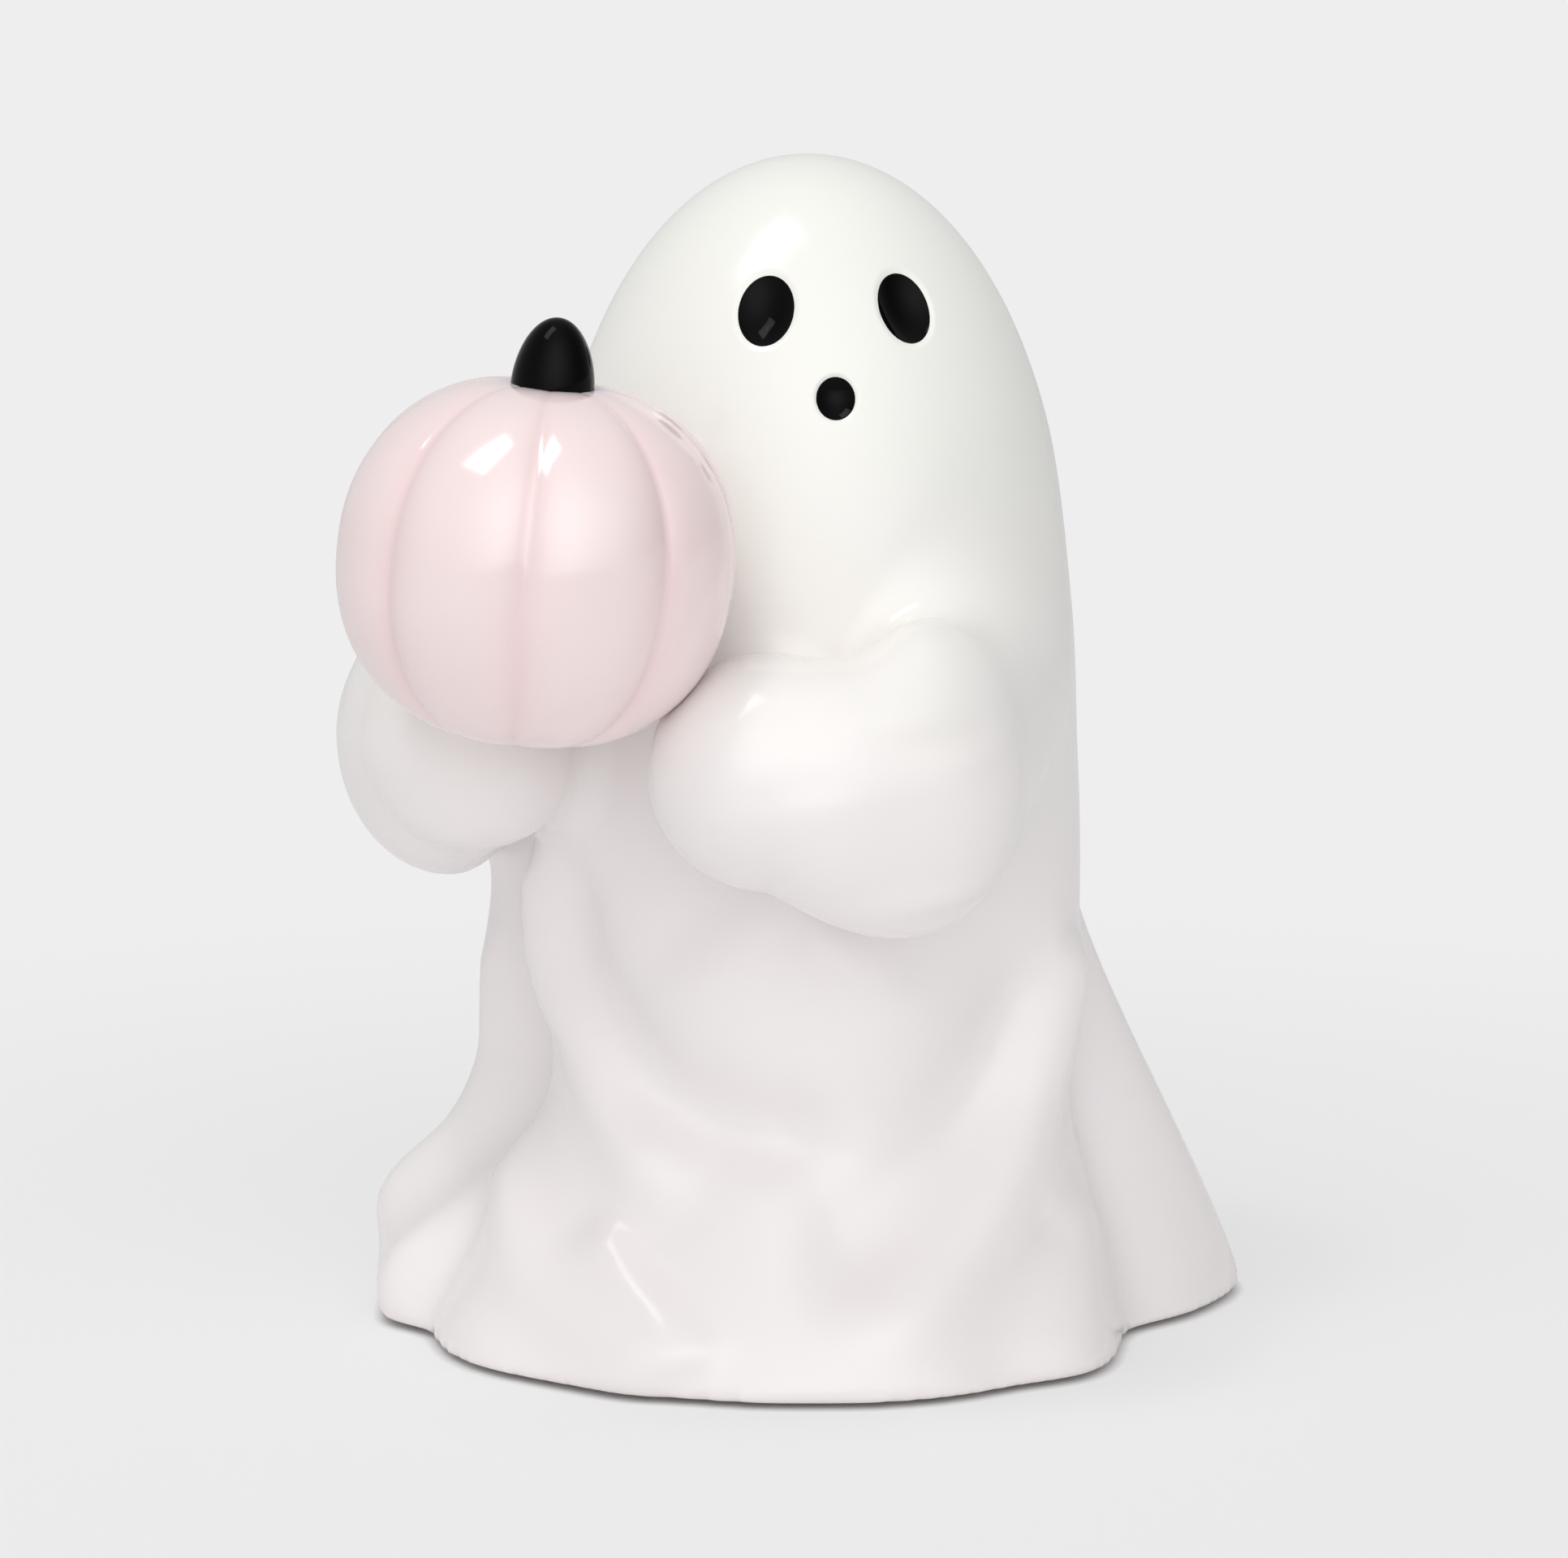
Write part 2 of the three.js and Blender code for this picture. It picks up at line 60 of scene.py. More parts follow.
mm = 0.001

# The ghost's axis runs through the middle of its four pads, and its hem is the body's lowest edge
padBoxes = [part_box(f"foot_pad_{number}") for number in (1, 2, 3, 4)]
axis = sum(((low + high) / 2 for low, high in padBoxes), Vector()) / len(padBoxes)
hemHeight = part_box("ghost_body")[0].z
origin = np.array([axis.x, axis.y, hemHeight])


def toFrame(points):
    return origin + np.asarray(points, float) * mm


def fromFrame(points):
    return (np.asarray(points, float) - origin) / mm


# Camera: a long lens a little above the figure's middle
view = {"distance": 900, "elevation": 10.5, "aimX": -2.97, "aimZ": 69.6, "lens": 160.8,
        "sensor": 36, "near": 0.05, "far": 30}


def makeCamera():
    tilt = math.radians(view["elevation"])
    aim = Vector(toFrame([view["aimX"], 0, view["aimZ"]]))
    back = Vector((0, -math.cos(tilt), math.sin(tilt)))
    bpy.ops.object.camera_add(location=aim + back * view["distance"] * mm)
    camera = bpy.context.object
    camera.rotation_euler = (-back).to_track_quat("-Z", "Y").to_euler()
    camera.data.lens = view["lens"]
    camera.data.sensor_width = view["sensor"]
    camera.data.clip_start = view["near"]
    camera.data.clip_end = view["far"]
    bpy.context.scene.camera = camera


# Selecting and shaping
def deselectAll():
    if bpy.context.object and bpy.context.object.mode != "OBJECT":
        bpy.ops.object.mode_set(mode="OBJECT")
    bpy.ops.object.select_all(action="DESELECT")


def choose(piece):
    deselectAll()
    piece.select_set(True)
    bpy.context.view_layer.objects.active = piece


def rename(piece, name):
    piece.name = name
    piece.data.name = name
    return piece


def readPoints(piece):
    flat = np.empty(len(piece.data.vertices) * 3)
    piece.data.vertices.foreach_get("co", flat)
    return flat.reshape(-1, 3)


def movePoints(piece, points):
    piece.data.vertices.foreach_set("co", np.asarray(points, float).ravel())
    piece.data.update()


def applyModifier(piece, kind, **settings):
    choose(piece)
    modifier = piece.modifiers.new(kind.title(), kind)
    for key, value in settings.items():
        setattr(modifier, key, value)
    bpy.ops.object.modifier_apply(modifier=modifier.name)


def faceOutwards(piece):
    choose(piece)
    bpy.ops.object.mode_set(mode="EDIT")
    bpy.ops.mesh.select_all(action="SELECT")
    bpy.ops.mesh.normals_make_consistent(inside=False)
    bpy.ops.object.mode_set(mode="OBJECT")


def smoothFaces(piece):
    choose(piece)
    bpy.ops.object.shade_smooth()


# A ball of rings between two poles: ring is each point's row from the top, turn its angle round
def addRings(name, segments, rows):
    deselectAll()
    bpy.ops.mesh.primitive_uv_sphere_add(segments=segments, ring_count=rows, radius=1)
    piece = rename(bpy.context.object, name)
    points = readPoints(piece)
    ring = np.rint(np.arccos(np.clip(points[:, 2], -1, 1)) / math.pi * rows).astype(int)
    turn = np.arctan2(points[:, 0], -points[:, 1])
    return piece, ring, turn


def bounded(value, low, high):
    return np.minimum(np.maximum(value, low), high)


def easeStep(value, low, high):
    share = bounded((value - low) / (high - low), 0, 1)
    return share * share * (3 - 2 * share)


# A smooth line through its knots, read at shares that count evenly from knot to knot
def smoothLine(knots, shares):
    knots = np.asarray(knots, float)
    ends = np.vstack([2 * knots[0] - knots[1], knots, 2 * knots[-1] - knots[-2]])
    place = bounded(np.asarray(shares, float), 0, 1) * (len(knots) - 1)
    first = np.minimum(place.astype(int), len(knots) - 2)
    t = (place - first)[:, None]
    a, b, c, d = (ends[first + step] for step in range(4))
    ab, bc, cd = (np.linalg.norm(q - p, axis=1)[:, None] ** 0.5 for p, q in ((a, b), (b, c), (c, d)))
    leave = ((b - a) / ab - (c - a) / (ab + bc) + (c - b) / bc) * bc
    reach = ((c - b) / bc - (d - b) / (bc + cd) + (d - c) / cd) * bc
    square = 3 * (c - b) - 2 * leave - reach
    cube = 2 * (b - c) + leave + reach
    return b + leave * t + square * t ** 2 + cube * t ** 3


def around(azimuth, radius, height):
    turn = np.radians(azimuth)
    return np.stack(np.broadcast_arrays(radius * np.sin(turn), -radius * np.cos(turn), height), axis=-1)


# Ghost under the sheet. Sizes are in millimetres and azimuths in degrees from the front to the right
ghost = {
    "height": 150, "bodyRadius": 35.2, "domeStart": 60, "domePower": 3,
    "hemRadius": 50, "skirtTop": 34, "skirtBow": 1.25, "skirtCurve": 1.6,
    "hemRound": 1.3, "wall": 4, "floor": 4, "vent": 6, "padGap": 0.3, "inset": 0.06,
    "segments": 300, "domeRows": 80, "skirtRows": 110, "roundRows": 6,
    "voxel": 0.96, "evenOut": 4, "floorRings": (0.6, 0.3),
}

# Lobes of the hem: azimuth, spread, reach, lift of the skirt's top, and ease of its curve
hemLobes = {
    "train": (103, 15, 8.5, 22, -0.3),
    "notch": (66, 12, -4.5, 0, 0),
    "frontLeft": (-56, 17, 3, 5, 0),
    "leftLobe": (-104, 17, 1.5, 0, 0),
    "backLeft": (-150, 18, 3.5, 14, -0.2),
    "backRight": (152, 18, 3, 12, -0.2),
}

# Folds: rise, half width below and above the line, then points of azimuth and height
sheetFolds = {
    "apronSwell": (2.0, 11, 16, [(-26, 58), (-12, 48), (-3, 44), (8, 46), (22, 56)]),
    "leftHipRidge": (3.2, 4.5, 5, [
        (-80, 70), (-77, 60), (-70, 49), (-57, 42), (-47, 36), (-34, 28), (-20, 22)]),
    "leftSwagValley": (-3.6, 4.5, 7, [
        (-66, 66), (-61, 58), (-56, 49), (-45, 41), (-32, 34), (-18, 31), (-2, 30), (14, 32)]),
    "leftOuterSwag": (2.8, 5.5, 3.5, [(-80, 38), (-71, 26), (-52, 16), (-38, 10), (-28, 6), (-16, 3)]),
    "leftInnerSwag": (2.4, 4, 2.5, [(-42, 21), (-29, 13), (-21, 9), (-14, 3)]),
    "rightSwagRidge": (3.0, 6.5, 5.5, [
        (74, 54), (72, 48), (63, 40), (52, 31), (40, 25), (24, 19), (11, 10), (-2, 4)]),
    "rightSwagValley": (-3.8, 4.5, 10, [
        (62, 54), (52, 45), (42, 36), (32, 28), (21, 21), (9, 16), (-6, 13)]),
    "rightHemValley": (-1.2, 5, 5, [(54, 20), (43, 13), (34, 7), (27, -2)]),
    "rightHemRidge": (1.2, 5, 5, [(68, 20), (58, 14), (48, 8), (40, -2)]),
    "trainCrease": (-2.6, 4.5, 5, [(84, 50), (83, 40), (79, 20), (75, 6), (72, -5)]),
    "sideDrape": (8.6, 13, 5.5, [(-103, 78), (-102, 62), (-101, 45), (-101, 25), (-100, 4)]),
    "leftRoll": (8.2, 12.5, 8.5, [(-142, 10), (-122, 10), (-102, 10), (-86, 9), (-70, 8)]),
    "leftCrease": (-7.5, 5.5, 4.5, [(-90, 72), (-87, 52), (-82, 37), (-72, 20)]),
    "backLeftCrease": (-2.0, 5, 5, [(-126, 52), (-127, 25), (-124, -5)]),
    "backCrease": (-2.2, 5, 5, [(178, 48), (176, 25), (180, -5)]),
    "backRightCrease": (-2.0, 5, 5, [(128, 52), (130, 25), (128, -5)]),
}

# A fold fades over this share of its line at each end, its line is read this often from knot to knot,
# and it lifts nothing beyond this many of its half widths
foldLine = {"fade": 0.18, "readings": 6, "margin": 3.5}


def turnFrom(azimuth, middle):
    return (azimuth - middle + 180) % 360 - 180


# How far a fold lifts the sheet, worked out where its line is near enough to matter
def foldRise(fold, azimuth, height):
    rise, below, above, knots = fold
    middle = knots[len(knots) // 2][0]
    wallScale = math.radians(ghost["bodyRadius"])
    across = (turnFrom(azimuth, middle) + middle) * wallScale
    flat = [(knotAzimuth * wallScale, knotHeight) for knotAzimuth, knotHeight in knots]
    line = smoothLine(flat, np.linspace(0, 1, foldLine["readings"] * (len(flat) - 1) + 1))
    margin = foldLine["margin"] * max(below, above)
    near = (across > line[:, 0].min() - margin) & (across < line[:, 0].max() + margin)
    near &= (height > line[:, 1].min() - margin) & (height < line[:, 1].max() + margin)
    lift = np.zeros(across.shape)
    x, y = across[near], height[near]
    best = np.full(x.shape, np.inf)
    side = np.ones(x.shape)
    along = np.zeros(x.shape)
    for index, (a, b) in enumerate(zip(line[:-1], line[1:])):
        run = b - a
        outX, outY = x - a[0], y - a[1]
        share = bounded((outX * run[0] + outY * run[1]) / (run @ run), 0, 1)
        distance = np.hypot(outX - share * run[0], outY - share * run[1])
        nearer = distance < best
        best = np.where(nearer, distance, best)
        side = np.where(nearer, np.sign(run[0] * outY - run[1] * outX), side)
        along = np.where(nearer, (index + share) / (len(line) - 1), along)
    if line[-1][0] < line[0][0]:
        side = -side
    fade = easeStep(np.minimum(along, 1 - along) / foldLine["fade"], 0, 1)
    lift[near] = rise * fade * np.exp(-(best / np.where(side > 0, above, below)) ** 2)
    return lift


def bodyRadiusAt(height):
    share = bounded((height - ghost["domeStart"]) / (ghost["height"] - ghost["domeStart"]), 0, 1)
    return ghost["bodyRadius"] * np.sqrt(1 - share ** ghost["domePower"])


def sheetRadius(azimuth, height):
    azimuth, height = np.broadcast_arrays(np.asarray(azimuth, float), np.asarray(height, float))
    reach = np.full(azimuth.shape, ghost["hemRadius"] - ghost["bodyRadius"], float)
    top = np.full(azimuth.shape, ghost["skirtTop"], float)
    curve = np.full(azimuth.shape, ghost["skirtCurve"], float)
    for middle, spread, lobeReach, lift, ease in hemLobes.values():
        share = np.exp(-(turnFrom(azimuth, middle) / spread) ** 2)
        reach += lobeReach * share
        top += lift * share
        curve += ease * share
    rise = bounded(height / top, 0, 1)
    radius = bodyRadiusAt(height) + reach * (1 - rise ** ghost["skirtBow"]) ** curve
    for fold in sheetFolds.values():
        radius = radius + foldRise(fold, azimuth, height)
    return radius


# The rows of a shell from crown to floor: height, how far it is drawn in, and its share of the radius
def sheetRows(domeRows, skirtRows, roundRows, crown, floor):
    rows = [(crown, 0, 0)]
    start = ghost["domeStart"]
    for row in range(domeRows - 1, 0, -1):
        turn = row / domeRows * math.pi / 2
        rows.append((start + (crown - start) * math.sin(turn) ** (2 / ghost["domePower"]), 0, 1))
    edge = ghost["hemRound"] if roundRows else 0
    for row in range(skirtRows, -1, -1):
        rows.append((floor + edge + (start - floor - edge) * row / skirtRows, 0, 1))
    for row in range(1, roundRows + 1):
        turn = row / roundRows * math.pi / 2
        rows.append((floor + edge * (1 - math.sin(turn)), edge * (1 - math.cos(turn)), 1))
    rows += [(floor, edge, share) for share in ghost["floorRings"]]
    rows.append((floor, 0, 0))
    return np.array(rows)


def addSheetShell(name, segments, rows, drawnIn):
    piece, ring, turn = addRings(name, segments, len(rows) - 1)
    height, inset, share = rows[ring].T
    azimuth = np.degrees(turn)
    radius = (sheetRadius(azimuth, height) - inset - drawnIn) * share
    movePoints(piece, toFrame(around(azimuth, radius, height)))
    faceOutwards(piece)
    return piece


# Pumpkin, held out to the ghost's right
pumpkin = {
    "azimuth": -35.4, "radius": 24.7, "halfHeight": 22.6, "height": 105, "lean": 5.5, "press": 0.8,
    "ribs": 8, "ribTurn": -2, "inset": 0.2, "squareness": 0.9,
    "grooveDepth": 1.45, "grooveSharpness": 3.4, "grooveFade": 0.5,
    "crownDip": 1.6, "crownRadius": 6, "wall": 3.2, "drain": 4, "sheetGap": 0.1,
    "segments": 256, "rows": 110, "drainSegments": 48,
}
holdDistance = bodyRadiusAt(np.array(pumpkin["height"])) + pumpkin["radius"] - pumpkin["press"]
pumpkinCentre = around(pumpkin["azimuth"], holdDistance, pumpkin["height"])
pumpkinTurn = np.array(Matrix.Rotation(math.radians(pumpkin["lean"]), 3, "Y"))


def pumpkinToFrame(points):
    return toFrame(np.asarray(points) @ pumpkinTurn.T + pumpkinCentre)


# Arms and hands: turn from the reach, distance from the body, rise, and half sizes above, below,
# away from the ghost and towards it
hand = {"radius": 14.6, "press": 1.2, "round": 54.4, "drop": 43, "gap": 0.05, "searchMargin": 1}
armStations = [
    (118, -10, 8, 9.5, 8, 10, 8),
    (98, -7.5, 6, 12.5, 8, 10.5, 9),
    (80, -3, 2.5, 16.5, 15, 9.6, 9),
    (63, 3.5, -1, 19.5, 16.6, 10.6, 10),
    (52, 9.5, -3.5, 21.6, 17.4, 13, 9.5),
    (41, 11.8, -1.2, 15.4, 18.2, 14.2, 11),
]
armMesh = {"segments": 96, "rows": 90, "handRows": 24}


def addArm(name, side):
    reach = pumpkin["radius"] + hand["radius"] - hand["press"]
    level = reach * math.cos(math.radians(hand["drop"]))
    ahead = holdDistance - level * math.cos(math.radians(hand["round"]))
    aside = level * math.sin(math.radians(hand["round"]))
    handHeight = pumpkin["height"] - reach * math.sin(math.radians(hand["drop"]))
    size = hand["radius"]
    knots, sizes = [], []
    for turn, stand, rise, above, below, outer, inner in armStations:
        height = handHeight + rise
        distance = bodyRadiusAt(np.array(height)) + stand
        knots.append(around(pumpkin["azimuth"] + side * turn, distance, height))
        sizes.append((above, below, outer, inner))
    handTurn = math.degrees(math.atan2(aside, ahead))
    knots.append(around(pumpkin["azimuth"] + side * handTurn, math.hypot(aside, ahead), handHeight))
    sizes.append((size, size, size, size))

    rows = [(0, 0, 0)]
    rows += [(row / armMesh["rows"], 0, 1) for row in range(armMesh["rows"] + 1)]
    turns = [row / armMesh["handRows"] * math.pi / 2 for row in range(1, armMesh["handRows"])]
    rows += [(1, size * math.sin(turn), math.cos(turn)) for turn in turns]
    rows.append((1, size, 0))
    rows = np.array(rows)

    piece, ring, turn = addRings(name, armMesh["segments"], len(rows) - 1)
    share, forward, scale = rows[ring].T
    centre = smoothLine(knots, share)
    step = 0.0005
    heading = smoothLine(knots, share + step) - smoothLine(knots, share - step)
    heading[:, 2] = 0
    heading /= np.linalg.norm(heading, axis=1)[:, None]
    outward = side * np.stack([-heading[:, 1], heading[:, 0], np.zeros(len(heading))], axis=1)
    spread = smoothLine(sizes, share) * scale[:, None]
    across = np.cos(turn) * np.where(np.cos(turn) > 0, spread[:, 2], spread[:, 3])
    raised = np.sin(turn) * np.where(np.sin(turn) > 0, spread[:, 0], spread[:, 1])
    points = centre + heading * forward[:, None] + outward * across[:, None]
    points[:, 2] += raised
    movePoints(piece, toFrame(points))
    faceOutwards(piece)
    return piece


def treeOf(piece):
    bare = bmesh.new()
    bare.from_mesh(piece.data)
    tree = BVHTree.FromBMesh(bare)
    bare.free()
    return tree


# How far frame points lie from a closed piece: below zero inside it
def distanceTo(tree, points):
    result = np.empty(len(points))
    for index, point in enumerate(points):
        near, normal, _, _ = tree.find_nearest(Vector(point))
        offset = Vector(point) - near
        result[index] = math.copysign(offset.length, offset.dot(normal))
    return result / mm


makeCamera()
print("camera set")

sheet = addSheetShell(
    "ghostSheet", ghost["segments"],
    sheetRows(ghost["domeRows"], ghost["skirtRows"], ghost["roundRows"], ghost["height"], 0),
    ghost["inset"])
nearArm = addArm("nearArm", 1)
farArm = addArm("farArm", -1)
armTrees = [treeOf(nearArm), treeOf(farArm)]
print("sheet and arms shaped")

choose(sheet)
nearArm.select_set(True)
farArm.select_set(True)
bpy.ops.object.join()
applyModifier(sheet, "REMESH", mode="VOXEL", voxel_size=ghost["voxel"] * mm, use_smooth_shade=True)
print("one skin of", len(sheet.data.vertices), "points")

# The sheet runs over the shoulders in one sweep, and creases more tightly towards the hands
blend = {
    "reach": 5.5, "shoulderReach": 22, "handTurn": 42, "shoulderTurn": 78, "passes": 400, "factor": 0.5,
    "lowest": 45, "highest": 125,
}

# Where the sleeve stands clear of the body, in millimetres from it and above the hem
sleeveClear = {"from": 3, "to": 9, "lowest": 50}

# Soft folds of the sleeve that the viewer sees, as for the sheet's folds
sleeveFolds = {
    "ridge": (0.5, 4.5, 4.5, [(-2, 80), (1, 74), (4, 68), (8, 60), (11, 54)]),
    "valley": (-0.9, 7, 7, [(14, 88), (11, 79), (12, 71), (15, 63)]),
    "lobe": (0.6, 5.5, 5.5, [(20, 86), (22, 77), (22, 69), (20, 61)]),
}


def smoothJoins():
    points = readPoints(sheet)
    local = fromFrame(points)
    azimuth = np.degrees(np.arctan2(local[:, 0], -local[:, 1]))
    fromSheet = np.hypot(local[:, 0], local[:, 1]) - sheetRadius(azimuth, local[:, 2])
    fromArms = np.full(len(points), np.inf)
    near = np.flatnonzero((local[:, 2] > blend["lowest"]) & (local[:, 2] < blend["highest"]))
    for tree in armTrees:
        fromArms[near] = np.minimum(fromArms[near], np.abs(distanceTo(tree, points[near])))
    turn = np.abs(turnFrom(azimuth, pumpkin["azimuth"]))
    towardsShoulder = easeStep(turn, blend["handTurn"], blend["shoulderTurn"])
    reach = blend["reach"] + (blend["shoulderReach"] - blend["reach"]) * towardsShoulder
    share = easeStep(1 - np.maximum(np.abs(fromSheet), fromArms) / reach, 0, 1)
    group = sheet.vertex_groups.new(name="joins")
    for index in np.flatnonzero(share > 0):
        group.add([int(index)], float(share[index]), "REPLACE")
    applyModifier(
        sheet, "SMOOTH", factor=blend["factor"], iterations=blend["passes"], vertex_group="joins")
    sheet.vertex_groups.clear()


# Lift the sleeve's own folds where it stands clear of the body's sheet
def foldSleeve():
    local = fromFrame(readPoints(sheet))
    azimuth = np.degrees(np.arctan2(local[:, 0], -local[:, 1]))
    fromAxis = np.hypot(local[:, 0], local[:, 1])
    clear = easeStep(fromAxis - bodyRadiusAt(local[:, 2]), sleeveClear["from"], sleeveClear["to"])
    clear *= local[:, 2] > sleeveClear["lowest"]
    lift = sum(foldRise(fold, azimuth, local[:, 2]) for fold in sleeveFolds.values()) * clear
    local[:, :2] *= (1 + lift / np.maximum(fromAxis, 1))[:, None]
    movePoints(sheet, toFrame(local))


applyModifier(sheet, "SMOOTH", factor=blend["factor"], iterations=ghost["evenOut"])
smoothJoins()
foldSleeve()
print("joins smoothed")


# Pumpkin: a ball of rings pressed into ribs, dimpled at both ends
def addPumpkin():
    piece, ring, turn = addRings("pumpkinGlaze", pumpkin["segments"], pumpkin["rows"])
    fromCrown = ring / pumpkin["rows"] * math.pi
    azimuth = np.degrees(turn)
    rib = ((azimuth - pumpkin["ribTurn"]) * pumpkin["ribs"] / 360 % 1) * 2 - 1
    swell = np.abs(np.sin(fromCrown))
    groove = np.abs(rib) ** pumpkin["grooveSharpness"] * swell ** pumpkin["grooveFade"]
    radius = (pumpkin["radius"] - pumpkin["inset"]) * swell ** pumpkin["squareness"]
    radius -= pumpkin["grooveDepth"] * groove
    radius = np.maximum(radius, 0)
    half = np.sign(np.cos(fromCrown))
    bare = pumpkin["halfHeight"] * half * np.abs(np.cos(fromCrown)) ** pumpkin["squareness"]
    dip = pumpkin["crownDip"] * np.exp(-(radius / pumpkin["crownRadius"]) ** 2) * half
    points = pumpkinToFrame(around(azimuth, radius, bare - dip))
    local = fromFrame(points)
    ghostAzimuth = np.degrees(np.arctan2(local[:, 0], -local[:, 1]))
    fromAxis = np.hypot(local[:, 0], local[:, 1])
    clear = sheetRadius(ghostAzimuth, local[:, 2]) + pumpkin["sheetGap"]
    inside = fromAxis < clear
    local[inside, :2] *= (clear / fromAxis)[inside, None]
    movePoints(piece, toFrame(local))
    faceOutwards(piece)
    # The groove depth is kept on the points for the pink glaze, which uses it to darken the grooves as
    # painted shade
    shade = piece.data.attributes.new("groove", "FLOAT", "POINT")
    shade.data.foreach_set("value", groove.astype(np.float32))
    return piece


pumpkinPiece = addPumpkin()
pumpkinTree = treeOf(pumpkinPiece)
print("pumpkin shaped")


# The hands cup the pumpkin: what lies inside it is pressed back to its skin
def cupHands():
    points = readPoints(sheet)
    centre = toFrame(pumpkinCentre)
    reach = (pumpkin["radius"] + hand["searchMargin"]) * mm
    near = np.flatnonzero(np.linalg.norm(points - centre, axis=1) < reach)
    for index in near:
        place, normal, _, _ = pumpkinTree.find_nearest(Vector(points[index]))
        if (Vector(points[index]) - place).dot(normal) < hand["gap"] * mm:
            points[index] = place + normal * hand["gap"] * mm
    movePoints(sheet, points)


cupHands()

# Face: oval dimples pressed into the clay, lined with black glaze
face = {
    "azimuth": 8.8, "eyeSpacing": 43, "mouthTurn": 1.9, "eyeWide": 7.0, "eyeTall": 9.4,
    "pocket": 1.35, "shoulder": 0.3, "shoulderFrom": 0.96, "shoulderTo": 1.22,
    "refineReach": 1.45, "refineCuts": 3, "upStep": 0.5, "searchDepth": 6, "castFrom": 8,
}
glazeOval = {"lift": 0.05, "depth": 0.5, "edgeLift": -0.06, "overlap": 1.01, "segments": 72, "rows": 36}
dimples = {
    "rightEyeGlaze": {
        "node": "right_eye", "azimuth": face["azimuth"] - face["eyeSpacing"] / 2, "drop": 17,
        "wide": face["eyeWide"], "tall": face["eyeTall"], "lean": 0},
    "leftEyeGlaze": {
        "node": "left_eye", "azimuth": face["azimuth"] + face["eyeSpacing"] / 2, "drop": 17,
        "wide": face["eyeWide"], "tall": face["eyeTall"], "lean": 2},
    "mouthGlaze": {
        "node": "mouth", "azimuth": face["azimuth"] - face["mouthTurn"], "drop": 27.4,
        "wide": 4.8, "tall": 5.4, "lean": 4},
}


# A dimple's middle, and its directions to the side, up the sheet and out of it
def dimpleAxes(dimple):
    height = ghost["height"] - dimple["drop"]
    middle = around(dimple["azimuth"], bodyRadiusAt(np.array(height)), height)
    above = height + face["upStep"]
    higher = around(dimple["azimuth"], bodyRadiusAt(np.array(above)), above)
    up = (higher - middle) / np.linalg.norm(higher - middle)
    side = around(dimple["azimuth"] + 90, 1, 0)
    out = np.cross(side, up)
    lean = math.radians(dimple["lean"])
    side, up = side * math.cos(lean) - up * math.sin(lean), up * math.cos(lean) + side * math.sin(lean)
    return middle, side, up, out


# Depth at a distance from the middle counted in the oval's own half sizes
def dimpleDepth(dimple, reach):
    pocket = face["pocket"] * dimple["wide"] / face["eyeWide"]
    bowl = pocket * np.maximum(1 - reach ** 2, 0)
    return bowl + face["shoulder"] * (1 - easeStep(reach, face["shoulderFrom"], face["shoulderTo"]))


def refineFace():
    choose(sheet)
    bpy.ops.object.mode_set(mode="EDIT")
    bpy.ops.mesh.select_all(action="DESELECT")
    bpy.ops.mesh.select_mode(type="FACE")
    edit = bmesh.from_edit_mesh(sheet.data)
    for dimple in dimples.values():
        centre = Vector(toFrame(dimpleAxes(dimple)[0]))
        reach = dimple["tall"] / 2 * face["refineReach"] * mm
        for item in edit.faces:
            if (item.calc_center_median() - centre).length < reach:
                item.select = True
    bmesh.update_edit_mesh(sheet.data)
    bpy.ops.mesh.subdivide(number_cuts=face["refineCuts"])
    bpy.ops.object.mode_set(mode="OBJECT")


def pressDimples():
    local = fromFrame(readPoints(sheet))
    for dimple in dimples.values():
        middle, side, up, out = dimpleAxes(dimple)
        offset = local - middle
        reach = np.hypot(offset @ side / (dimple["wide"] / 2), offset @ up / (dimple["tall"] / 2))
        depth = np.where(np.abs(offset @ out) < face["searchDepth"], dimpleDepth(dimple, reach), 0)
        local -= depth[:, None] * out
    movePoints(sheet, toFrame(local))


# Black glaze in a dimple: a thin dished oval that follows the sheet
def addGlaze(name, dimple, tree):
    rows = glazeOval["rows"]
    piece, ring, turn = addRings(name, glazeOval["segments"], rows)
    middle, side, up, out = dimpleAxes(dimple)
    fromPole = ring / rows * math.pi
    reach = np.sin(fromPole) * glazeOval["overlap"]
    across = reach * np.sin(turn) * dimple["wide"] / 2
    raised = reach * np.cos(turn) * dimple["tall"] / 2
    start = toFrame(middle + across[:, None] * side + raised[:, None] * up + out * face["castFrom"])
    points = np.array([tree.ray_cast(Vector(point), Vector(-out))[0] for point in start])
    lift = np.where(ring < rows // 2, glazeOval["lift"], -glazeOval["depth"])
    lift = np.where(ring == rows // 2, glazeOval["edgeLift"], lift)
    points += ((lift - dimpleDepth(dimple, reach))[:, None] * out) * mm
    movePoints(piece, points)
    faceOutwards(piece)
    smoothFaces(piece)
    return piece


faceTree = treeOf(sheet)
refineFace()
pressDimples()
glazes = {name: addGlaze(name, dimple, faceTree) for name, dimple in dimples.items()}
print("face pressed in")


# The casting is hollow, with a vent through its floor and four shallow beds for the pads
hollow = {"segments": 64, "domeRows": 16, "skirtRows": 14, "discSegments": 64, "bedDepth": 6}


def addDisc(centre, radius, depth):
    deselectAll()
    bpy.ops.mesh.primitive_cylinder_add(
        vertices=hollow["discSegments"], radius=radius, depth=depth, location=centre)
    return bpy.context.object


